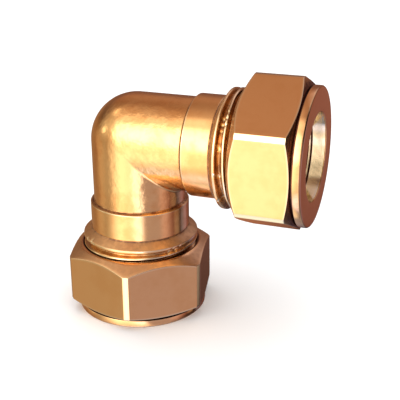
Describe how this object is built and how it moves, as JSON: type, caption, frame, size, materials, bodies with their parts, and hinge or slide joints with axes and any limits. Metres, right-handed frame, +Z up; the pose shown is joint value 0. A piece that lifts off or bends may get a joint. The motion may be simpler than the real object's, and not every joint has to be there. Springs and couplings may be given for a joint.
{
  "type": "compression fitting",
  "caption": "Brass right-angle compression elbow that joins copper water tubes, with hexagon nuts that screw on and off and soft olives inside.",
  "frame": {"origin": "middle of the footprint of the bounding box, on the end face of the lower nut; the two bore axes cross at x -9.60 mm, y 0, z 31.70 mm", "axes": "+Z up along the lower port's axis, towards the corner of the elbow; +X along the side port's axis, outwards through the side nut; +Y across the elbow"},
  "size_m": [0.0452, 0.0268, 0.0453],
  "materials": {
    "body_brass": "forged, blasted and bright dipped, with turned collars and threads",
    "nut_brass": "machined from drawn hexagon bar, polished flats and turned end faces",
    "olive_brass": "soft turned brass, smooth"
  },
  "bodies": {
    "elbow": {"elbow_body": "body_brass"},
    "lower_ring": {"lower_olive": "olive_brass"},
    "lower_hexagon": {"lower_nut": "nut_brass"},
    "side_ring": {"side_olive": "olive_brass"},
    "side_hexagon": {"side_nut": "nut_brass"}
  },
  "joints": [
    {"name": "lower_nut_travel", "type": "slide", "parent": "elbow", "child": "lower_ring", "axis": [0, 0, -1], "range_m": [0, 0.0059]},
    {"name": "lower_nut_turn", "type": "hinge", "parent": "lower_ring", "child": "lower_hexagon", "pos_m": [-0.0096, 0, 0.006], "axis": [0, 0, -1], "range_deg": [0, 1170]},
    {"name": "side_nut_travel", "type": "slide", "parent": "elbow", "child": "side_ring", "axis": [1, 0, 0], "range_m": [-0.00055, 0.00536]},
    {"name": "side_nut_turn", "type": "hinge", "parent": "side_ring", "child": "side_hexagon", "pos_m": [0.01665, 0, 0.0317], "axis": [1, 0, 0], "range_deg": [-108, 1062]}
  ],
  "couplings": [
    {"joint": "lower_nut_travel", "follows": "lower_nut_turn", "m_per_rad": 0.00028875},
    {"joint": "side_nut_travel", "follows": "side_nut_turn", "m_per_rad": 0.00028875}
  ]
}
